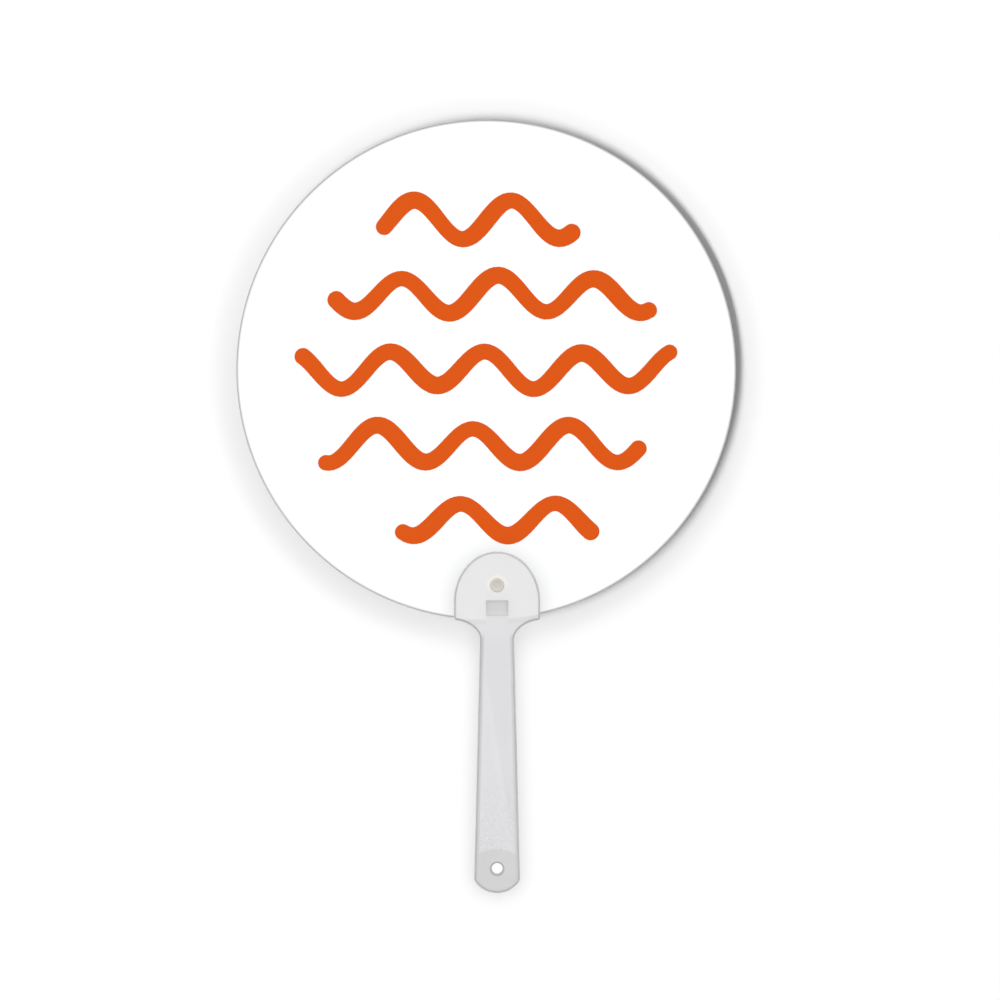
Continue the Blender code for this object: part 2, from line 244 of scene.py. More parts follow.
@dataclass(frozen=True, kw_only=True)
class ScreenInk(Finish):
    """Matt screen ink on plastic sheet.

    The eye sees one strong flat colour, a little uneven where the squeegee left more or less ink, with
    the screen's mesh as a faint texture.
    """

    name: str = "screen-printed orange ink"
    colour: str = "#DA5613"
    roughness: float = 0.50
    ior: float = 1.5
    specular: float = 0.15
    # The squeegee leaves clouds of thinner ink about 17 mm wide
    thin_colour: str = "#D65514"
    cloud_scale: float = 60.0
    cloud_detail: float = 4.0
    # A screen's mesh has about 0.1 mm between threads: it is drawn at 0.7 mm, so that it shows
    skin_size: float = 0.0007
    skin_height: float = 0.000004
    skin_detail: float = 1.0
    roughness_swing: float = 0.06

    def make(self) -> Material:
        """Make the ink's material.

        Returns:
            The material.
        """
        material, tree, shader = self.start()
        place = node(tree, "TexCoord").outputs["Object"]
        cloud = node(tree, "TexNoise", {
            "Scale": self.cloud_scale, "Detail": self.cloud_detail, "Vector": place}).outputs["Fac"]
        ink = node(tree, "Mix", TWO_COLOURS | {0: cloud, 6: self.thin_colour, 7: self.colour})
        tree.links.new(ink.outputs[2], shader.inputs["Base Color"])
        self.add_skin(tree, shader, place)
        return material


@dataclass(frozen=True, kw_only=True)
class Moulding(Finish):
    """Translucent plastic, injection moulded in a finely blasted tool, with polypropylene's values.

    The eye sees a milky, even grey, with a dark line along each rounded edge, painted as shade on the
    slopes for the light inside that leaves sideways, and a dull skin. Light goes through it, so its shadow
    stays pale.
    """

    roughness: float = 0.40
    ior: float = 1.49
    # A blasted tool's grain is about 0.1 mm: it is drawn at 0.5 mm, so that it shows
    skin_size: float = 0.0005
    # Slopes are told by the upright part of their direction, from level to steep, and painted darker as shade
    slope_shade_levels: tuple[float, float] = (0.998, 0.93)
    slope_shade_tone: str = "#DADADA"
    slope_shade_blend: str = "MULTIPLY"
    transmission: float = 0.25
    # The share of a lamp's light that goes through one face
    clear_to_lamps: float = 0.5

    def make(self) -> Material:
        """Make the moulding's material.

        Returns:
            The material.
        """
        material, tree, shader = self.start()
        shader.inputs["Transmission Weight"].default_value = self.transmission
        coordinates = node(tree, "TexCoord")
        place = coordinates.outputs["Object"]
        normal = node(tree, "SeparateXYZ", {0: coordinates.outputs["Normal"]})
        level = node(tree, "Math", {"operation": "ABSOLUTE", 0: normal.outputs["Z"]}).outputs[0]
        flat, steep = self.slope_shade_levels
        # Painted shade: the slopes take a darker tone, for the light that leaves the rounded edges sideways
        slope_shade = node(tree, "MapRange", SOFT_STEP | {"Value": level, "From Min": flat, "From Max": steep})
        skin = self.add_skin(tree, shader, place)
        whole = node(tree, "Mix", TWO_COLOURS | {
            "blend_type": self.slope_shade_blend, 0: slope_shade.outputs[0], 6: self.add_body(tree, place, skin),
            7: self.add_slope_shade(tree, place)})
        tree.links.new(whole.outputs[2], shader.inputs["Base Color"])
        share = node(tree, "Math", {
            "operation": "MULTIPLY", 0: node(tree, "LightPath").outputs["Is Shadow Ray"],
            1: self.add_clear_share(tree, place)})
        clear = node(tree, "BsdfTransparent")
        both = node(tree, "MixShader", {0: share.outputs[0], 1: shader.outputs[0], 2: clear.outputs[0]})
        tree.links.new(both.outputs[0], tree.nodes["Material Output"].inputs["Surface"])
        return material

    def add_body(self, tree: Tree, place: Socket, skin: Socket) -> Socket | str:
        """Return the colour of the level faces."""
        return self.colour

    def add_slope_shade(self, tree: Tree, place: Socket) -> Socket | str:
        """Return the painted shade of the slopes."""
        return self.slope_shade_tone

    def add_clear_share(self, tree: Tree, place: Socket) -> Socket | float:
        """Return the share of a lamp's light that goes through a face."""
        return self.clear_to_lamps


@dataclass(frozen=True, kw_only=True)
class HandleMoulding(Moulding):
    """The handle's frosted polypropylene.

    The eye sees the thin lip lighter, because the white sheet shines through it, and the stem greyer, as
    painted shade; a painted pale halo of light round the rivet; painted shade along the outline, past
    the rim beside the window and round the hang hole's mouth; a fine grain in the lower grip and a darker
    pad round the hole.
    """

    handle: "Handle"
    name: str = "frosted natural polypropylene handle"
    colour: str = "#EFEFEF"
    clear_to_lamps: float = 1.0
    # Painted shade on the slopes round the head and its shoulders
    head_slope_shade_tone: str = "#C6C6C6"
    # Painted shade: the thick stem greyer than the thin lip, through which the white sheet shines
    stem_shade_colour: str = "#EAEAEC"
    # Painted shade beside the window, just past the sheet's rim
    seat_shade_colour: str = "#E5E5E7"
    pad_colour: str = "#DBDBDB"
    # Painted light: a pale halo round the rivet
    halo_light_colour: str = "#FBFAF7"
    # Painted shade: a dark line along the stem's sides and round its end
    edge_shade_colour: str = "#D6D6D8"
    # Painted shade round the hang hole's rounded mouth
    mouth_shade_colour: str = "#C6C8CA"
    # The lower grip's grain, with about 0.9 mm from spot to spot
    grain_colour: str = "#DFDFE1"
    grain_size: float = 0.0009
    grain_levels: tuple[float, float] = (0.40, 0.65)
    blur: float = 0.0005
    edge_shade_width: float = 0.0019
    neck_fade: float = 0.004
    seat_shade_width: float = 0.0024
    # How far the painted pale halo reaches from the rivet's axis
    halo_light_reach: float = 0.0062
    # The heights at which all of a lamp's light would go through, as shares of the stem's and the lip's
    # thickness. The lip's lies above the lip, so that only a part goes through it
    clear_from: float = 0.52
    lip_clear_from: float = 1.4

    def add_body(self, tree: Tree, place: Socket, skin: Socket) -> Socket:
        """Return the colour of the level faces, from the lip to the pad.

        Args:
            tree: The node tree.
            place: The place on the handle.
            skin: The skin's pattern, not used.

        Returns:
            The colour.
        """
        handle, seat = self.handle, self.handle.blade.radius
        split = node(tree, "SeparateXYZ", {0: place})
        along = split.outputs["Y"]
        offset = node(tree, "Math", {"operation": "SUBTRACT", 0: split.outputs["X"], 1: handle.axis_x})
        across = node(tree, "Math", {"operation": "ABSOLUTE", 0: offset.outputs[0]}).outputs[0]
        from_disc, from_rivet, from_pad, from_end, from_hole = (
            plan_distance(tree, place, centre) for centre in (
                handle.blade.centre, handle.rivet.axis, (handle.axis_x, handle.pad_y),
                (handle.axis_x, handle.low.y + handle.end_radius), (handle.axis_x, handle.hang_y)))
        taper = (handle.end_half - handle.neck_half) / (handle.neck_y - handle.end_corner_y)
        untapered = node(tree, "Math", {
            "operation": "MULTIPLY_ADD", 0: along, 1: taper, 2: across}).outputs[0]
        # Where the painted shade along the outline begins
        edge_shade_line = handle.neck_half + taper * handle.neck_y - self.edge_shade_width
        end_shade_line = handle.end_radius - self.edge_shade_width
        grain_top = (handle.neck_y + handle.pad_top_y) / 2
        shade_end = seat + self.seat_shade_width
        spots = node(tree, "TexNoise", {"Scale": 1 / self.grain_size, "Detail": self.skin_detail,
                                        "Vector": place})
        soft, crisp = self.blur, self.blur / 2
        ramps = {
            "middle": (across, handle.window_half + soft, handle.window_half - soft),
            "beside": (across, handle.window_half - soft, handle.window_half + soft),
            "below_window": (along, handle.window_low + crisp, handle.window_low - crisp),
            "past_rim": (from_disc, seat - soft, seat + soft),
            "near_rim": (from_disc, shade_end + soft, shade_end - soft),
            # Painted light round the rivet
            "rivet_halo_light": (from_rivet, self.halo_light_reach, handle.rivet.head_radius),
            "on_pad": (from_pad, handle.pad_radius + crisp, handle.pad_radius - crisp),
            "on_end": (along, handle.pad_corner_y + crisp, handle.pad_corner_y - crisp),
            "side": (untapered, edge_shade_line - soft, edge_shade_line + soft),
            "round_end": (from_end, end_shade_line - soft, end_shade_line + soft),
            "below_corner": (along, handle.end_corner_y + soft, handle.end_corner_y - soft),
            # Painted shade on the hang hole's mouth
            "mouth": (from_hole, handle.mouth_radius, handle.mouth_radius - crisp),
            "below_neck": (along, handle.neck_y + self.neck_fade, handle.neck_y),
            "low_grip": (along, grain_top, handle.pad_corner_y),
            "spots": (spots.outputs["Fac"], *self.grain_levels),
        }
        masks = {name: node(tree, "MapRange", SOFT_STEP | {
            "Value": value, "From Min": start, "From Max": end}).outputs[0]
            for name, (value, start, end) in ramps.items()}
        for name, operation, first, second in (
                ("bridge", "MULTIPLY", "middle", "below_window"),
                # Painted shade on the thick stem, past the rim and under the window
                ("stem_shade", "MAXIMUM", "past_rim", "bridge"),
                ("rim", "MULTIPLY", "past_rim", "near_rim"),
                # Painted shade just past the rim, beside the window
                ("seat", "MULTIPLY", "rim", "beside"),
                ("grain", "MULTIPLY", "spots", "low_grip"),
                ("pad", "MAXIMUM", "on_pad", "on_end"),
                # Painted shade along the stem's sides and round end
                ("side_shade_line", "MULTIPLY", "side", "below_neck"),
                ("end_shade_line", "MULTIPLY", "round_end", "below_corner"),
                ("edge_shade_line", "MAXIMUM", "side_shade_line", "end_shade_line")):
            settings = {"operation": operation, 0: masks[first], 1: masks[second]}
            masks[name] = node(tree, "Math", settings).outputs[0]
        # Lays the own tones (grain, pad) and the painted light and shade (stem, seat, rivet halo, outline,
        # mouth) over the lip
        colour = self.colour
        for name, tone in (("rivet_halo_light", self.halo_light_colour), ("stem_shade", self.stem_shade_colour),
                           ("seat", self.seat_shade_colour), ("grain", self.grain_colour),
                           ("pad", self.pad_colour), ("edge_shade_line", self.edge_shade_colour),
                           ("mouth", self.mouth_shade_colour)):
            colour = node(tree, "Mix", TWO_COLOURS | {0: masks[name], 6: colour, 7: tone}).outputs[2]
        return colour

    def add_slope_shade(self, tree: Tree, place: Socket) -> Socket:
        """Return the painted shade of the slopes, which is darker round the head and its shoulders.

        Args:
            tree: The node tree.
            place: The place on the handle.

        Returns:
            The tone.
        """
        neck_y = self.handle.neck_y
        head = node(tree, "MapRange", SOFT_STEP | {
            "Value": node(tree, "SeparateXYZ", {0: place}).outputs["Y"],
            "From Min": neck_y, "From Max": neck_y + self.neck_fade})
        return node(tree, "Mix", TWO_COLOURS | {
            0: head.outputs[0], 6: self.slope_shade_tone, 7: self.head_slope_shade_tone}).outputs[2]

    def add_clear_share(self, tree: Tree, place: Socket) -> Socket:
        """Return how much light a face lets through: less low down, all of it round the hang hole.

        Args:
            tree: The node tree.
            place: The place on the handle.

        Returns:
            The share of a lamp's light.
        """
        handle, blade = self.handle, self.handle.blade
        sheet_z, front_z = blade.high.z, handle.high.z
        lip_clear = sheet_z + self.lip_clear_from * (front_z - sheet_z)
        rim = {"Value": plan_distance(tree, place, blade.centre), "From Min": blade.radius - self.blur,
               "From Max": blade.radius + self.blur}
        low = node(tree, "MapRange", rim | {"To Min": sheet_z, "To Max": 0.0})
        high = node(tree, "MapRange", rim | {"To Min": lip_clear, "To Max": self.clear_from * front_z})
        share = node(tree, "MapRange", SOFT_STEP | {
            "Value": node(tree, "SeparateXYZ", {0: place}).outputs["Z"],
            "From Min": low.outputs[0], "From Max": high.outputs[0], "To Max": self.clear_to_lamps})
        open_hole = node(tree, "MapRange", {
            "Value": plan_distance(tree, place, (handle.axis_x, handle.hang_y)),
            "From Min": handle.mouth_radius + self.blur, "From Max": handle.mouth_radius})
        return node(tree, "Math", {"operation": "MAXIMUM", 0: share.outputs[0],
                                   1: open_hole.outputs[0]}).outputs[0]


@dataclass(frozen=True, kw_only=True)
class KeyMoulding(Moulding):
    """The clamp plate's frosted polypropylene.

    The eye sees its key in the window as a grey oblong, painted lighter towards the stem as light and
    softly darker along its top and right edges as painted shade.
    """

    handle: "Handle"
    name: str = "frosted natural polypropylene plate"
    colour: str = "#EAEAEB"
    # Painted shade on the key's rounded edges
    slope_shade_tone: str = "#E4E5E5"
    clear_to_lamps: float = 0.3
    # Painted light on the key's foot
    lit_foot_colour: str = "#F4F5F5"
    # Painted shade along the key's top and right edges
    shade_colour: str = "#DDDEDE"
    shade_width: float = 0.0012
    # Where the key's painted lighter foot starts to fade and where it ends, as shares of its length
    fade: tuple[float, float] = (0.04, 0.42)

    def add_body(self, tree: Tree, place: Socket, skin: Socket) -> Socket:
        """Return the colour of the level faces, with the key's painted light and shade.

        Args:
            tree: The node tree.
            place: The place on the plate.
            skin: The skin's pattern, not used.

        Returns:
            The colour.
        """
        split = node(tree, "SeparateXYZ", {0: place})
        right, low = self.handle.axis_x + self.handle.window_half, self.handle.window_low
        top = low + self.handle.window_height
        ramps = [("Y", *(low + share * (top - low) for share in self.fade))]
        ramps += [(axis, limit - self.shade_width, limit) for axis, limit in (("X", right), ("Y", top))]
        rise, beside, above = (node(tree, "MapRange", SOFT_STEP | {
            "Value": split.outputs[axis], "From Min": start, "From Max": end}).outputs[0]
            for axis, start, end in ramps)
        # Painted light towards the foot, then painted shade along the top and right edges
        face = node(tree, "Mix", TWO_COLOURS | {0: rise, 6: self.lit_foot_colour, 7: self.colour}).outputs[2]
        both = node(tree, "Math", {"operation": "MAXIMUM", 0: beside, 1: above}).outputs[0]
        shade = node(tree, "Math", {"operation": "MULTIPLY", 0: both, 1: rise}).outputs[0]
        return node(tree, "Mix", TWO_COLOURS | {0: shade, 6: face, 7: self.shade_colour}).outputs[2]


@dataclass(frozen=True, kw_only=True)
class MouldedNylon(Moulding):
    """Natural nylon, injection moulded.

    The eye sees a warm, waxy grey with a fine even skin, that lets a little light through, with painted shade
    on its slopes.
    """

    name: str = "natural nylon rivet"
    colour: str = "#CFCBC4"
    pale_colour: str = "#CCC7BF"
    ior: float = 1.53
    # The skin's grain is drawn at 0.4 mm, so that it shows
    skin_size: float = 0.0004
    # Painted shade on the slopes, such as the dimple's, mixed over the colour
    slope_shade_levels: tuple[float, float] = (0.99, 0.90)
    slope_shade_tone: str = "#C3BEB6"
    slope_shade_blend: str = "MIX"
    transmission: float = 0.0

    def add_body(self, tree: Tree, place: Socket, skin: Socket) -> Socket:
        """Return the colour of the level faces, a little uneven with the skin."""
        return node(tree, "Mix", TWO_COLOURS | {0: skin, 6: self.colour, 7: self.pale_colour}).outputs[2]


@dataclass(frozen=True, kw_only=True)
class PaperSweep(Finish):
    """Matt white paper. The eye sees plain white with the fan's soft shadow on it."""

    name: str = "matt white paper"
    colour: str = "#FDFDFD"
    bounce_colour: str = "#808080"
    roughness: float = 1.0
    ior: float = 1.5
    specular: float = 0.0

    def make(self) -> Material:
        """Make the paper's material, greyer to bounced light, so that the fan's shadow stays clear.

        Returns:
            The material.
        """
        material, tree, shader = self.start()
        tone = node(tree, "Mix", TWO_COLOURS | {0: white_rays(tree), 6: self.bounce_colour, 7: self.colour})
        tree.links.new(tone.outputs[2], shader.inputs["Base Color"])
        return material


# Modelling helpers


class Select(Enum):
    """What an edit-mode selection holds."""

    EDGES = "EDGE"
    FACES = "FACE"


def deselect_everything() -> None:
    """Leave edit mode and select nothing, so that the next operator acts on the new piece alone."""
    if bpy.context.object and bpy.context.object.mode != "OBJECT":
        bpy.ops.object.mode_set(mode="OBJECT")
    bpy.ops.object.select_all(action="DESELECT")


def activate(piece: Piece) -> None:
    """Select one piece alone and make it the active one.

    Args:
        piece: The object.
    """
    deselect_everything()
    piece.select_set(True)
    bpy.context.view_layer.objects.active = piece


def pick(piece: Piece, what: Select, test: Callable[[list[Vector]], bool]) -> None:
    """Go into edit mode with the edges or faces of a mesh selected that pass a test.

    Args:
        piece: The mesh object.
        what: Whether edges or faces are selected.
        test: Is given the corners of an edge or face, and says whether to select it.
    """
    activate(piece)
    bpy.ops.object.mode_set(mode="EDIT")
    bpy.ops.mesh.select_mode(type=what.value)
    bpy.ops.mesh.select_all(action="DESELECT")
    bpy.ops.object.mode_set(mode="OBJECT")
    points = [vertex.co for vertex in piece.data.vertices]
    parts = piece.data.polygons if what is Select.FACES else piece.data.edges
    for part in parts:
        part.select = test([points[i] for i in part.vertices])
    bpy.ops.object.mode_set(mode="EDIT")


def grow(shift: Sequence[float], scale: Sequence[float], pivot: Sequence[float]) -> None:
    """Extrude what is selected, then scale the new end about a point."""
    bpy.ops.mesh.extrude_region_move(TRANSFORM_OT_translate={"value": tuple(shift)})
    bpy.ops.transform.resize(value=tuple(scale), center_override=tuple(pivot))


def place_in_mesh(piece: Piece, name: str) -> Piece:
    """Name a piece and move its place, turn and scale into its mesh.

    Args:
        piece: The new object.
        name: The name for it and its mesh.

    Returns:
        The same object.
    """
    activate(piece)
    piece.name = name
    piece.data.name = name
    bpy.ops.object.transform_apply(location=True, rotation=True, scale=True)
    return piece


def face_out(piece: Piece) -> None:
    """Merge doubled points and turn every face outwards.

    Args:
        piece: The mesh object.
    """
    activate(piece)
    bpy.ops.object.mode_set(mode="EDIT")
    bpy.ops.mesh.select_mode(type="VERT")
    bpy.ops.mesh.select_all(action="SELECT")
    bpy.ops.mesh.remove_doubles(threshold=TINY)
    bpy.ops.mesh.normals_make_consistent(inside=False)
    bpy.ops.object.mode_set(mode="OBJECT")


def thicken(piece: Piece, height: float) -> None:
    """Pull a level sheet in edit mode up to its thickness and close it.

    Args:
        piece: The mesh object.
        height: The thickness.
    """
    bpy.ops.mesh.select_all(action="SELECT")
    bpy.ops.mesh.extrude_region_move(TRANSFORM_OT_translate={"value": (0, 0, height)})
    bpy.ops.object.mode_set(mode="OBJECT")
    face_out(piece)


def bevel_selection(radius: float, segments: int) -> None:
    """Round the selected edges and go back to object mode."""
    bpy.ops.mesh.bevel(offset_type="OFFSET", offset=radius, segments=segments, profile=0.5,
                       affect="EDGES", clamp_overlap=False, loop_slide=False)
    bpy.ops.object.mode_set(mode="OBJECT")


def round_border(piece: Piece, height: float, radius: float, segments: int) -> None:
    """Round the border of the level face at a height.

    Args:
        piece: The mesh object.
        height: The height of the face.
        radius: The radius of the rounding.
        segments: The rounding's number of faces.
    """
    pick(piece, Select.FACES, lambda corners: all(abs(c.z - height) < TINY for c in corners))
    bpy.ops.mesh.region_to_loop()
    bevel_selection(radius, segments)


def combine(piece: Piece, tool: Piece, operation: str = "DIFFERENCE") -> None:
    """Cut a tool's shape from a piece, or join it on, and remove the tool.

    Args:
        piece: The piece that changes.
        tool: The cutter or the added shape.
        operation: The Boolean's name.
    """
    modifier = piece.modifiers.new("cut", "BOOLEAN")
    modifier.operation = operation
    modifier.solver = "EXACT"
    modifier.object = tool
    activate(piece)
    bpy.ops.object.modifier_apply(modifier=modifier.name)
    bpy.data.objects.remove(tool, do_unlink=True)


def ladder(name: str, axis_x: float, stations: Sequence[Station], low: float, high: float) -> Piece:
    """Build a symmetrical slab, rung by rung along Y, and pull it up to its thickness.

    Args:
        name: The piece's name.
        axis_x: The line of symmetry.
        stations: Pairs of y and half-width, in order from the top down.
        low: The height of the slab's back.
        high: The height of its front.

    Returns:
        The closed slab.
    """
    (first_y, first_half), (second_y, second_half) = stations[:2]
    deselect_everything()
    bpy.ops.mesh.primitive_plane_add(size=1.0, location=(axis_x, (first_y + second_y) / 2, low))
    slab = bpy.context.object
    slab.scale = (2 * first_half, first_y - second_y, 1.0)
    place_in_mesh(slab, name)
    pick(slab, Select.EDGES, lambda ends: all(abs(e.y - second_y) < TINY for e in ends))
    bpy.ops.transform.resize(value=(second_half / first_half, 1, 1), center_override=(axis_x, second_y, low))
    for (from_y, from_half), (to_y, to_half) in zip(stations[1:], stations[2:]):
        grow((0, to_y - from_y, 0), (to_half / from_half, 1, 1), (axis_x, to_y, low))
    thicken(slab, high - low)
    return slab


def block(axis_x: float, half: float, y_span: Station, z_span: Station) -> Piece:
    """Return a plain block for combine, between two values of y and of z."""
    return ladder("block", axis_x, [(y_span[1], half), (y_span[0], half)], *z_span)


def ring_stack(name: str, centre: Sequence[float], stations: Sequence[Station], sides: int = 96) -> Piece:
    """Build a turned shape, ring by ring, from a circle.

    Args:
        name: The piece's name.
        centre: The axis's x and y.
        stations: Pairs of radius and height, in order along the profile from cap to cap.
        sides: The number of points round each ring.

    Returns:
        The closed turned shape.
    """
    (radius, height), *rest = stations
    deselect_everything()
    bpy.ops.mesh.primitive_circle_add(vertices=sides, radius=radius, fill_type="NGON",
                                      location=(*centre, height))
    turned = place_in_mesh(bpy.context.object, name)
    bpy.ops.object.mode_set(mode="EDIT")
    bpy.ops.mesh.select_mode(type="FACE")
    bpy.ops.mesh.select_all(action="SELECT")
    for new_radius, new_height in rest:
        scale = new_radius / radius
        grow((0, 0, new_height - height), (scale, scale, 1), (*centre, new_height))
        radius, height = new_radius, new_height
    bpy.ops.object.mode_set(mode="OBJECT")
    face_out(turned)
    return turned


def rod(centre: Sequence[float], radius: float, z_span: Station, sides: int = 96) -> Piece:
    """Return a plain round rod for combine, between two heights."""
    return ring_stack("rod", centre[:2], [(radius, z) for z in z_span], sides)


def quarter(centre: Station, radius: float, start: float, end: float, steps: int) -> list[Station]:
    """Return the points of an arc between two angles in degrees, both ends included."""
    angles = [math.radians(start + (end - start) * step / steps) for step in range(steps + 1)]
    return [(centre[0] + radius * math.cos(a), centre[1] + radius * math.sin(a)) for a in angles]


def arc_radius(half_chord: float, sagitta: float) -> float:
    """Return the radius of an arc, from half its chord and its height."""
    return (half_chord ** 2 + sagitta ** 2) / (2 * sagitta)


def finish_off(piece: Piece, finish: Finish, replaced: str | None = None,
               crease: float = 40.0) -> Piece:
    """Shade a piece with soft rounds and true flats, dress it and let it ride on the fan.

    Args:
        piece: The modelled piece.
        finish: Its finish.
        replaced: The node that it replaces, if any.
        crease: Edges sharper than this, in degrees, stay crisp.

    Returns:
        The finished piece.
    """
    activate(piece)
    bpy.ops.object.shade_smooth_by_angle(angle=math.radians(crease))
    flats = piece.modifiers.new("true_flats", "WEIGHTED_NORMAL")
    flats.keep_sharp = True
    flats.weight = FLAT_WEIGHT
    bpy.ops.object.modifier_apply(modifier=flats.name)
    piece.data.materials.clear()
    piece.data.materials.append(finish.make())
    deselect_everything()
    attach(piece, BODY)
    if replaced:
        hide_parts(replaced)
    LOG.info("built %s with %d faces", piece.name, len(piece.data.polygons))
    return piece


# The fan's sub-assemblies


@dataclass
class Blade:
    """The disc of white sheet, with the rivet's hole and the notch under the handle's head."""

    node: str = "blade"
    edge_radius: float = 0.00018
    edge_segments: int = 4
    sides: int = 720
    hole_radius: float = 0.0031
    notch_width: float = 0.0106
    notch_depth: float = 0.0092

    def __post_init__(self) -> None:
        """Read the disc's place and size from its node."""
        self.low, self.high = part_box(self.node)
        self.centre = (self.low + self.high) / 2
        self.radius = (self.high.x - self.low.x) / 2

    def build(self, finish: Finish, handle: "Handle") -> Piece:
        """Model and dress the disc.

        Args:
            finish: The sheet's finish.
            handle: The handle that laps over it.

        Returns:
            The finished disc.
        """
        deselect_everything()
        bpy.ops.mesh.primitive_cylinder_add(vertices=self.sides, radius=self.radius,
                                            depth=self.high.z - self.low.z, location=self.centre)
        disc = place_in_mesh(bpy.context.object, "sheet_blade")
        for height in (self.low.z, self.high.z):
            round_border(disc, height, self.edge_radius, self.edge_segments)
        z_span = (self.low.z - OVERRUN, self.high.z + OVERRUN)
        combine(disc, rod(handle.rivet_place, self.hole_radius, z_span))
        combine(disc, block(handle.axis_x, self.notch_width / 2,
                            (handle.rim_y - OVERRUN, handle.rim_y + self.notch_depth), z_span))
        # Bounced light passes it by, so that the shadow under it stays clear
        disc.visible_diffuse = False
        return finish_off(disc, finish, self.node)


@dataclass
class SnapRivet:
    """The two halves of the snap rivet: the dimpled stud in front, the flanged socket behind."""

    stud_node: str = "rivet_stud"
    socket_node: str = "rivet_socket"
    head_thickness: float = 0.0009
    head_edge: float = 0.0004
    head_edge_steps: int = 6
    dimple_radius: float = 0.0022
    dimple_floor: float = 0.0014
    dimple_depth: float = 0.00035
    # The run and drop of the soft shoulders at the dimple's rim and floor
    dimple_shoulder: Station = (0.00025, 0.0000875)
    # The low pip in the dimple's middle, as pairs of radius and height over its floor
    pip: tuple[Station, ...] = ((0.00084, 0.0), (0.00042, 0.00008), (0.00005, 0.00012))
    shank_radius: float = 0.0014
    barb_radius: float = 0.0019
    barb_length: float = 0.0008
    barb_straight: float = 0.00032
    slot_half: float = 0.00035
    slot_length: float = 0.0019
    throat_radius: float = 0.0017
    bore_radius: float = 0.0022
    barrel_radius: float = 0.0028
    flange_thickness: float = 0.0006
    flange_edge: float = 0.0002
    flange_edge_steps: int = 4
    crease: float = 50.0

    def __post_init__(self) -> None:
        """Read the rivet's place from its nodes."""
        self.stud_low, self.stud_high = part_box(self.stud_node)
        self.socket_low, self.socket_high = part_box(self.socket_node)
        centre = (self.stud_low + self.stud_high) / 2
        self.axis = (centre.x, centre.y)
        self.head_radius = (self.stud_high.x - self.stud_low.x) / 2
        self.flange_radius = (self.socket_high.x - self.socket_low.x) / 2

    def build_stud(self, finish: Finish) -> Piece:
        """Model and dress the stud, from its tip up to the dimple in its head.

        Args:
            finish: The rivet's finish.

        Returns:
            The finished stud.
        """
        tip, top = self.stud_low.z, self.stud_high.z
        barb_top, head_bottom = tip + self.barb_length, top - self.head_thickness
        edge = quarter((self.head_radius - self.head_edge, top - self.head_edge), self.head_edge, 0, 90,
                       self.head_edge_steps)
        floor_z, (run, drop) = top - self.dimple_depth, self.dimple_shoulder
        stud = ring_stack("rivet_stud_nylon", self.axis, [
            (self.shank_radius, tip), (self.barb_radius, barb_top - self.barb_straight),
            (self.barb_radius, barb_top), (self.shank_radius, barb_top),
            (self.shank_radius, head_bottom), (self.head_radius, head_bottom), *edge,
            (self.dimple_radius + run, top), (self.dimple_radius, top - drop),
            (self.dimple_floor + run, floor_z + drop), (self.dimple_floor, floor_z),
            *((radius, floor_z + height) for radius, height in self.pip)])
        reach = self.barb_radius + OVERRUN
        combine(stud, block(self.axis[0], self.slot_half, (self.axis[1] - reach, self.axis[1] + reach),
                            (tip - OVERRUN, tip + self.slot_length)))
        return finish_off(stud, finish, self.stud_node, self.crease)

    def build_socket(self, finish: Finish) -> Piece:
        """Model and dress the socket, a flanged barrel with a narrow throat.

        Args:
            finish: The rivet's finish.

        Returns:
            The finished socket.
        """
        low, high = self.socket_low.z, self.socket_high.z
        flange_top = low + self.flange_thickness
        edge = quarter((self.flange_radius - self.flange_edge, low + self.flange_edge), self.flange_edge,
                       -90, 0, self.flange_edge_steps)
        socket = ring_stack("rivet_socket_nylon", self.axis, [
            *edge, (self.flange_radius, flange_top), (self.barrel_radius, flange_top),
            (self.barrel_radius, high)])
        throat_z = self.stud_low.z + self.barb_length + CLEARANCE
        combine(socket, ring_stack("bore", self.axis, [
            (self.bore_radius, low - OVERRUN), (self.bore_radius, throat_z),
            (self.throat_radius, throat_z), (self.throat_radius, high + OVERRUN)]))
        return finish_off(socket, finish, self.socket_node, self.crease)


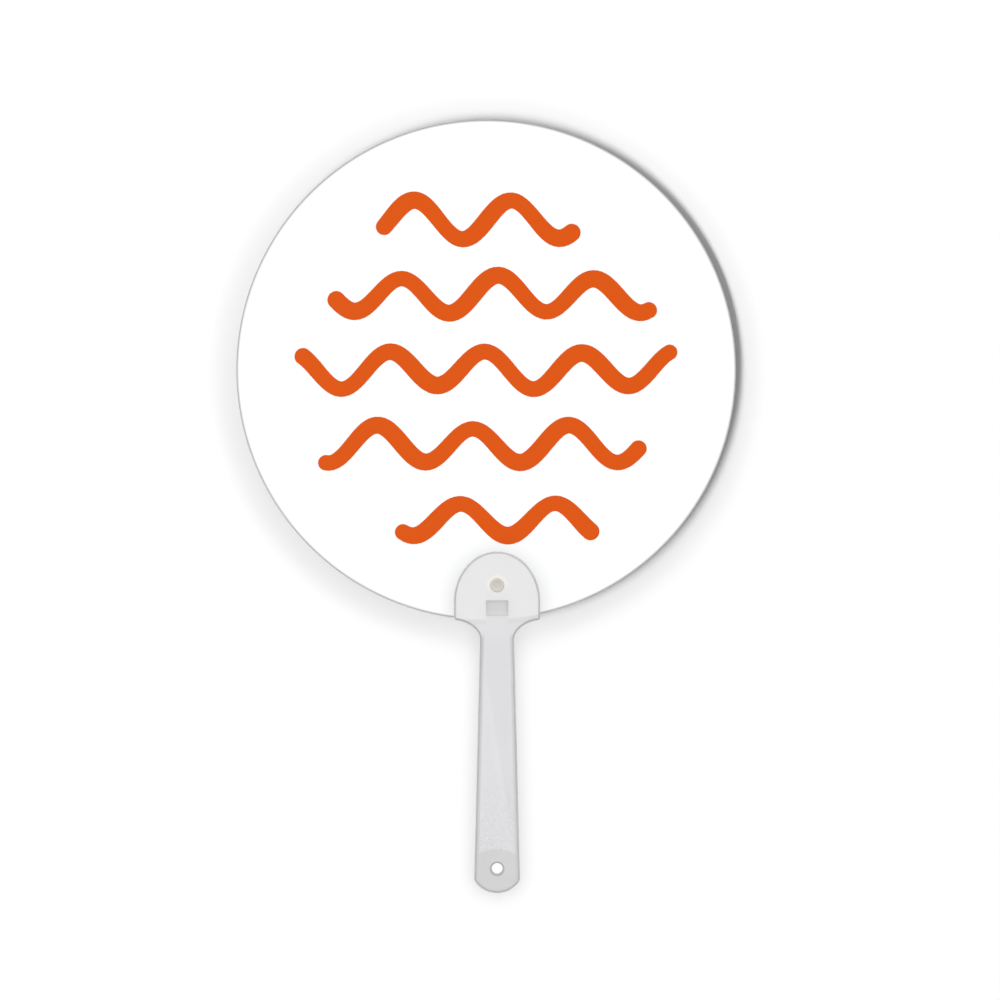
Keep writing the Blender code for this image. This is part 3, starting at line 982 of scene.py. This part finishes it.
@dataclass
class Handle:
    """The one-piece handle: stem, shoulders and the lip that laps over the sheet."""

    blade: Blade
    rivet: SnapRivet
    node: str = "handle"
    head_half: float = 0.02065
    head_side: float = 0.0086
    shoulder_run: float = 0.0148
    shoulder_rise: float = 0.0098
    shoulder_steps: int = 20
    neck_half: float = 0.00815
    end_half: float = 0.01095
    end_sagitta: float = 0.0062
    end_steps: int = 16
    front_radius: float = 0.0013
    front_segments: int = 8
    back_radius: float = 0.0004
    back_segments: int = 5
    # The shoulder's curve is cut back by this angle for the head's round lower corner, in radians
    corner_turn: float = 0.082
    corner_steps: int = 8
    # The head's rungs sweep this far from its tip, in degrees, and stand a little wider apart there
    dome_steps: int = 30
    dome_sweep: float = 87.5
    dome_easing: float = 0.9
    # The stem's last rung stops just short of the end's middle, at this angle in degrees
    end_stop: float = -88.5
    panel_depth: float = 0.0003
    panel_margin: float = 0.0020
    panel_rim_distance: float = 0.0030
    panel_end_distance: float = 0.0212
    panel_corner: float = 0.0025
    panel_corner_segments: int = 10
    pad_sagitta: float = 0.0024
    pad_sides: int = 240
    hang_radius: float = 0.00265
    hang_mouth: float = 0.0011
    hang_mouth_steps: int = 5
    hang_end_distance: float = 0.0117
    window_half: float = 0.0053
    window_rim_margin: float = 0.0018
    window_height: float = 0.0074
    throat_radius: float = 0.0017
    rivet_seat_radius: float = 0.00345
    rivet_seat_depth: float = 0.0007

    def __post_init__(self) -> None:
        """Read the handle's place from its node, and work out where its features stand."""
        self.low, self.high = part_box(self.node)
        self.axis_x = (self.low.x + self.high.x) / 2
        self.rivet_place = (self.axis_x, self.rivet.axis[1])
        self.rim_y = self.blade.centre.y - math.sqrt(self.blade.radius ** 2 - self.axis_x ** 2)
        self.neck_y = self.rim_y - self.shoulder_rise
        self.window_low = self.rim_y + self.window_rim_margin
        self.end_corner_y = self.low.y + self.end_sagitta
        self.end_radius = arc_radius(self.end_half, self.end_sagitta)
        self.hang_y = self.low.y + self.hang_end_distance
        self.mouth_radius = self.hang_radius + self.hang_mouth
        self.pad_top_y = self.low.y + self.panel_end_distance
        self.pad_corner_y = self.pad_top_y - self.pad_sagitta
        stem_share = (self.neck_y - self.pad_corner_y) / (self.neck_y - self.end_corner_y)
        stem_half = self.neck_half + (self.end_half - self.neck_half) * stem_share
        self.pad_half = stem_half - self.panel_margin
        self.pad_radius = arc_radius(self.pad_half, self.pad_sagitta)
        self.pad_y = self.pad_top_y - self.pad_radius

    def dome_stations(self) -> list[Station]:
        """Return the head's rungs, from its tip down to the sides.

        Returns:
            Pairs of y and half-width.
        """
        base_y = self.rim_y + self.head_side
        rise = self.high.y - base_y
        angles = [math.radians(90 - self.dome_sweep * (step / self.dome_steps) ** self.dome_easing)
                  for step in range(1, self.dome_steps + 1)]
        rungs = [(base_y + rise * math.sin(a), self.head_half * math.cos(a)) for a in angles]
        return [*rungs, (base_y, self.head_half)]

    def outline_stations(self) -> list[Station]:
        """Return the rungs of the whole handle, from the head's tip to the stem's end.

        Returns:
            Pairs of y and half-width.
        """
        rungs = self.dome_stations()
        run, rise = self.shoulder_run, self.shoulder_rise
        centre_half = self.neck_half + run
        start = math.acos((self.head_half - centre_half) / run) + self.corner_turn
        way = Vector((-run * math.sin(start), rise * math.cos(start))).normalized()
        touch = Vector((centre_half + run * math.cos(start), self.neck_y + rise * math.sin(start)))
        radius = (self.head_half - touch.x) / (1 + way.y)
        middle = touch + radius * Vector((way.y, -way.x))
        corner = quarter(tuple(middle), radius, 0, math.degrees(math.atan2(way.x, -way.y)),
                         self.corner_steps)
        rungs += [(y, half) for half, y in corner]
        for step in range(1, self.shoulder_steps + 1):
            angle = start + (math.pi - start) * step / self.shoulder_steps
            rungs.append((self.neck_y + rise * math.sin(angle), centre_half + run * math.cos(angle)))
        half_sweep = math.degrees(math.atan2(self.end_half, self.end_radius - self.end_sagitta))
        end = quarter((0.0, self.low.y + self.end_radius), self.end_radius, half_sweep - 90,
                      self.end_stop, self.end_steps)
        return rungs + [(y, half) for half, y in end]

    def panel_cutter(self, high: float) -> Piece:
        """Build the shallow recess of the grip, with round corners above and the pad's top below.

        Args:
            high: The height of the cutter's top.

        Returns:
            The cutter.
        """
        top_y, low = self.rim_y - self.panel_rim_distance, self.high.z - self.panel_depth
        cutter = ladder("grip_panel", self.axis_x, [(top_y, self.neck_half - self.panel_margin),
                                                    (self.pad_corner_y, self.pad_half)], low, high)
        pick(cutter, Select.EDGES, lambda ends: (
            abs(ends[0].z - ends[1].z) > self.panel_depth and abs(ends[0].y - top_y) < TINY))
        bevel_selection(self.panel_corner, self.panel_corner_segments)
        combine(cutter, rod((self.axis_x, self.pad_y), self.pad_radius, (low - OVERRUN, high + OVERRUN),
                            self.pad_sides))
        return cutter

    def build(self, finish: Finish) -> Piece:
        """Model and dress the handle.

        Args:
            finish: The moulding's finish.

        Returns:
            The finished handle.
        """
        front, back, blade = self.high.z, self.low.z, self.blade
        handle = ladder("moulded_handle", self.axis_x, self.outline_stations(), back, front)
        round_border(handle, front, self.front_radius, self.front_segments)
        round_border(handle, back, self.back_radius, self.back_segments)
        low, high = blade.high.z + CLEARANCE - OVERRUN, front + OVERRUN
        combine(handle, block(self.axis_x, self.window_half,
                              (self.window_low, self.window_low + self.window_height), (low, high)))
        seat_z = front - self.rivet_seat_depth
        combine(handle, ring_stack("rivet_hole", self.rivet_place, [
            (self.throat_radius, low), (self.throat_radius, seat_z), (self.rivet_seat_radius, seat_z),
            (self.rivet_seat_radius, high)]))
        combine(handle, self.panel_cutter(high))
        mouth, mouth_radius, steps = self.hang_mouth, self.mouth_radius, self.hang_mouth_steps
        combine(handle, ring_stack("hang_hole", (self.axis_x, self.hang_y), [
            (mouth_radius, back - OVERRUN), *quarter((mouth_radius, back + mouth), mouth, -90, -180, steps),
            *quarter((mouth_radius, front - mouth), mouth, 180, 90, steps), (mouth_radius, high)]))
        combine(handle, rod(blade.centre, blade.radius + CLEARANCE,
                            (back - OVERRUN, blade.high.z + CLEARANCE), blade.sides))
        # Bounced light passes it by, so that the shadow under it stays clear
        handle.visible_diffuse = False
        return finish_off(handle, finish, self.node)


@dataclass
class RearClampPlate:
    """The plate behind the head, whose key shows in the lip's window."""

    node: str = "rear_clamp_plate"
    plate_top: float = 0.0017
    edge_radius: float = 0.0006
    edge_segments: int = 6
    key_gap: float = 0.00002
    key_edge: float = 0.00003
    key_segments: int = 4
    flange_seat_radius: float = 0.0043
    flange_seat_z: float = 0.0011
    barrel_hole_radius: float = 0.0031

    def build(self, finish: Finish, handle: Handle) -> Piece:
        """Model and dress the plate.

        Args:
            finish: The moulding's finish.
            handle: The handle whose head it closes.

        Returns:
            The finished plate.
        """
        low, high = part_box(self.node)
        blade, below, above = handle.blade, low.z - OVERRUN, self.plate_top + OVERRUN
        rungs = [*handle.dome_stations(), (handle.rim_y - OVERRUN, handle.head_half)]
        plate = ladder("clamp_plate", handle.axis_x, rungs, low.z, self.plate_top)
        combine(plate, rod(blade.centre, blade.radius, (below, above), blade.sides), "INTERSECT")
        face_out(plate)
        round_border(plate, low.z, self.edge_radius, self.edge_segments)

        key_low = handle.window_low + self.key_gap
        key_high = key_low + handle.window_height - 2 * self.key_gap
        key = block(handle.axis_x, handle.window_half - self.key_gap, (key_low, key_high),
                    (self.plate_top / 2, high.z))
        round_border(key, high.z, self.key_edge, self.key_segments)
        combine(plate, key, "UNION")
        combine(plate, ring_stack("socket_hole", handle.rivet_place, [
            (self.flange_seat_radius, below), (self.flange_seat_radius, self.flange_seat_z),
            (self.barrel_hole_radius, self.flange_seat_z), (self.barrel_hole_radius, above)]))
        return finish_off(plate, finish, self.node)


@dataclass
class BrushPrint:
    """The screen print: rows of bold wavy brush strokes, as a thin film of ink on the sheet."""

    thickness: float = 0.00004
    stroke_half: float = 0.0040
    row_pitch: float = 0.036
    lengths: tuple[float, ...] = (0.090, 0.150, 0.176, 0.150, 0.090)
    shifts: tuple[float, ...] = (-0.004, 0.003, 0.0, -0.002, 0.005)
    wave_length: float = 0.046
    amplitude: float = 0.0085
    # Each row's wave is shifted against the one above by this share of its length
    row_turn: float = 0.13
    # Slow waves of a stroke's height and width: size, turns along the stroke and turns from row to row
    drift: tuple[float, float, float] = (0.0009, 1.7, 0.31)
    swell: tuple[float, float, float] = (0.07, 2.3, 0.23)
    step: float = 0.0015
    cap_steps: int = 10
    # The half-width at a stroke's very tip, as a share
    tip_share: float = 0.06

    def slow_wave(self, wave: tuple[float, float, float], share: float, row: int) -> float:
        """Return a slow wave's height at a share of a stroke."""
        size, turns, row_turns = wave
        return size * math.sin(math.tau * (turns * share + row_turns * row))

    def stroke_points(self, row: int) -> list[tuple[Vector, float]]:
        """Return a stroke's middle line.

        Args:
            row: Which stroke, counted from the top.

        Returns:
            Points, each with half the stroke's width there.
        """
        length = self.lengths[row]
        y = self.row_pitch * (len(self.lengths) // 2 - row)
        count = round(length / self.step)
        points = []
        for index in range(count + 1):
            share = index / count
            x = (share - 0.5) * length + self.shifts[row]
            wave = self.amplitude * math.sin(math.tau * (x / self.wave_length + self.row_turn * row))
            half = self.stroke_half * (1.0 + self.slow_wave(self.swell, share, row))
            points.append((Vector((x, y + wave + self.slow_wave(self.drift, share, row), 0.0)), half))
        return points

    def rungs(self, row: int, centre: Vector) -> list[tuple[Vector, float, float]]:
        """Return a stroke's rungs with its round ends.

        Args:
            row: Which stroke, counted from the top.
            centre: The middle of the sheet's face.

        Returns:
            Each rung's middle, direction and half-width.
        """
        line = [(centre + point, half) for point, half in self.stroke_points(row)]
        rungs = []
        for index, (point, half) in enumerate(line):
            ahead = line[min(index + 1, len(line) - 1)][0] - line[max(index - 1, 0)][0]
            rungs.append((point, math.atan2(ahead.y, ahead.x), half))
        caps = []
        for (end, turn, half), side in ((rungs[0], -1), (rungs[-1], 1)):
            way = Vector((math.cos(turn), math.sin(turn), 0.0))
            cap = []
            for step in range(self.cap_steps):
                angle = math.radians(90 * step / self.cap_steps)
                cap.append((end + way * (side * half * math.cos(angle)), turn,
                            half * max(math.sin(angle), self.tip_share)))
            caps.append(cap[::-side])
        return caps[0] + rungs + caps[1]

    def build_stroke(self, row: int, centre: Vector) -> Piece:
        """Draw one stroke with a round nib and pull it up to the film's thickness.

        Args:
            row: Which stroke, counted from the top.
            centre: The middle of the sheet's face.

        Returns:
            The closed film of ink.
        """
        rungs = self.rungs(row, centre)
        (first, turn, half), (second, _, second_half) = rungs[:2]
        deselect_everything()
        bpy.ops.mesh.primitive_plane_add(size=1.0, location=(first + second) / 2, rotation=(0, 0, turn))
        film = bpy.context.object
        film.scale = ((second - first).length, 2 * half, 1.0)
        place_in_mesh(film, f"print_stroke_{row + 1}")
        way = (second - first).normalized()
        pick(film, Select.EDGES, lambda ends: all((e - second).dot(way) > -TINY for e in ends))
        scale = second_half / half
        bpy.ops.transform.resize(value=(scale, scale, 1), center_override=second)
        for (start, from_turn, from_half), (stop, to_turn, to_half) in zip(rungs[1:], rungs[2:]):
            scale = to_half / from_half
            grow(stop - start, (scale, scale, 1), stop)
            bpy.ops.transform.rotate(value=from_turn - to_turn, orient_axis="Z", center_override=stop)
        thicken(film, self.thickness)
        return film

    def build(self, finish: Finish, blade: Blade) -> Piece:
        """Print all strokes on the sheet's face.

        Args:
            finish: The ink's finish.
            blade: The printed sheet.

        Returns:
            The print as one piece.
        """
        face = Vector((blade.centre.x, blade.centre.y, blade.high.z))
        strokes = [self.build_stroke(row, face) for row in range(len(self.lengths))]
        deselect_everything()
        for stroke in strokes:
            stroke.select_set(True)
        bpy.context.view_layer.objects.active = strokes[0]
        bpy.ops.object.join()
        return finish_off(place_in_mesh(strokes[0], "screen_print"), finish)


# The studio


@dataclass(frozen=True, kw_only=True)
class Lamp:
    """A soft oval lamp that aims at the fan, with its angles in degrees."""

    name: str
    azimuth: float
    elevation: float
    distance: float
    width: float
    height: float
    share: float
    mirrored: bool = False

    def hang(self) -> Piece:
        """Hang the lamp, with the power that gives its share of the light on a level white face.

        Returns:
            The lamp.
        """
        data = bpy.data.lights.new(self.name, "AREA")
        data.shape = "ELLIPSE"
        data.size, data.size_y = self.width, self.height
        data.cycles.use_multiple_importance_sampling = False
        climb, turn = math.radians(self.elevation), math.radians(self.azimuth)
        spread = math.prod(math.hypot(1, size / 2 / self.distance) for size in (self.width, self.height))
        data.energy = self.share * spread * math.pi ** 2 * self.distance ** 2 / math.sin(climb)
        lamp = bpy.data.objects.new(self.name, data)
        bpy.context.scene.collection.objects.link(lamp)
        way = Vector((math.cos(turn) * math.cos(climb), math.sin(turn) * math.cos(climb), math.sin(climb)))
        lamp.location = way * self.distance
        lamp.rotation_mode = "QUATERNION"
        lamp.rotation_quaternion = way.to_track_quat("Z", "Y")
        lamp.visible_glossy = self.mirrored
        lamp.visible_transmission = False
        return lamp


@dataclass
class Studio:
    """The plain white floor, the soft lamps and the camera straight above the fan."""

    lens: float = 100.0
    sensor: float = 36.0
    frame_width: float = 0.480
    frame_centre: tuple[float, float] = (0.00658, 0.0030)
    clip: tuple[float, float] = (0.01, 60.0)
    floor_size: float = 8.0
    world_colour: str = "#FFFFFF"
    world_share: float = 0.005
    key: Lamp = Lamp(name="key", azimuth=203.0, elevation=37.5, distance=30.0, width=60.0, height=9.0,
                     share=0.617, mirrored=True)
    top: Lamp = Lamp(name="top", azimuth=0.0, elevation=90.0, distance=3.0, width=2.0, height=2.0,
                     share=0.600)
    # The low lamps stand all round and have this share of the light together
    ring: Lamp = Lamp(name="low", azimuth=15.0, elevation=10.8, distance=3.0, width=1.5, height=0.55,
                      share=0.425)
    ring_count: int = 12
    # Those on the disc's side are stronger by up to this share, and those on the stem's side weaker
    ring_bias: float = 0.35

    def build_camera(self, face_z: float) -> None:
        """Hang the camera above the fan, as far as its lens needs for the frame.

        Args:
            face_z: The height of the sheet's face.
        """
        data = bpy.data.cameras.new("camera")
        data.lens = self.lens
        data.sensor_width = self.sensor
        data.clip_start, data.clip_end = self.clip
        camera = bpy.data.objects.new("camera", data)
        bpy.context.scene.collection.objects.link(camera)
        camera.location = (*self.frame_centre, face_z + self.frame_width * self.lens / self.sensor)
        bpy.context.scene.camera = camera

    def build_floor(self) -> None:
        """Lay the white paper."""
        deselect_everything()
        bpy.ops.mesh.primitive_plane_add(size=self.floor_size, location=(0, 0, 0))
        floor = place_in_mesh(bpy.context.object, "floor")
        floor.data.materials.append(PaperSweep().make())
        self.floor = floor

    def build_world(self) -> None:
        """Surround the scene with plain white that gives a small share of the light."""
        world = bpy.data.worlds.new("studio")
        bpy.context.scene.world = world
        world.use_nodes = True
        tree = world.node_tree
        background = tree.nodes["Background"]
        background.inputs["Color"].default_value = linear(self.world_colour)
        light = node(tree, "MapRange", {"Value": white_rays(tree), "To Min": self.world_share})
        tree.links.new(light.outputs[0], background.inputs["Strength"])

    def build(self, face_z: float) -> None:
        """Set up the camera, the floor, the world and the low lamps.

        Args:
            face_z: The height of the sheet's face, which fills the frame.
        """
        bpy.context.scene.view_settings.view_transform = "Standard"
        self.build_camera(face_z)
        self.build_floor()
        self.build_world()
        for index in range(self.ring_count):
            azimuth = self.ring.azimuth + 360 * index / self.ring_count
            weight = 1 + self.ring_bias * math.sin(math.radians(azimuth))
            replace(self.ring, name=f"{self.ring.name}_{index + 1}", azimuth=azimuth,
                    share=weight * self.ring.share / self.ring_count).hang()
        LOG.info("built the studio with %d low lamps", self.ring_count)

    def hang_key(self, sheet_pieces: Sequence[Piece], plate: Piece, mouldings: Sequence[Piece]) -> None:
        """Light the paper and the sheet from the side, and the translucent pieces evenly from above.

        The side lamp's light spreads inside frosted plastic and leaves it on all sides. So only the opaque
        pieces cast its shadow, and a lamp above stands for it on the mouldings.

        Args:
            sheet_pieces: The sheet and its print.
            plate: The clamp plate, whose shadow falls into the window.
            mouldings: The frosted and nylon pieces.
        """
        key, top = self.key.hang().light_linking, self.top.hang().light_linking
        key.receiver_collection = self.gather("key_lights", [self.floor, *sheet_pieces])
        key.blocker_collection = self.gather("key_blockers", [*sheet_pieces, plate])
        top.receiver_collection = self.gather("top_lights", mouldings)

    def gather(self, name: str, pieces: Sequence[Piece]) -> bpy.types.Collection:
        """Gather pieces for a lamp.

        Args:
            name: The collection's name.
            pieces: The pieces in it.

        Returns:
            The new collection.
        """
        group = bpy.data.collections.new(name)
        for piece in pieces:
            group.objects.link(piece)
        return group


def main() -> None:
    """Set up the studio, build the fan in it piece by piece, and hang the key lamps for its pieces."""
    logging.basicConfig(level=logging.INFO, format="%(name)s: %(message)s")
    blade, rivet = Blade(), SnapRivet()
    handle = Handle(blade, rivet)
    studio = Studio()
    studio.build(blade.high.z)
    disc = blade.build(ExtrudedSheet(blade=blade), handle)
    ink = BrushPrint().build(ScreenInk(), blade)
    moulding = handle.build(HandleMoulding(handle=handle))
    plate = RearClampPlate().build(KeyMoulding(handle=handle), handle)
    nylon = MouldedNylon()
    stud, socket = rivet.build_stud(nylon), rivet.build_socket(nylon)
    studio.hang_key([disc, ink], plate, [moulding, plate, stud, socket])


if __name__ == "__main__":
    main()
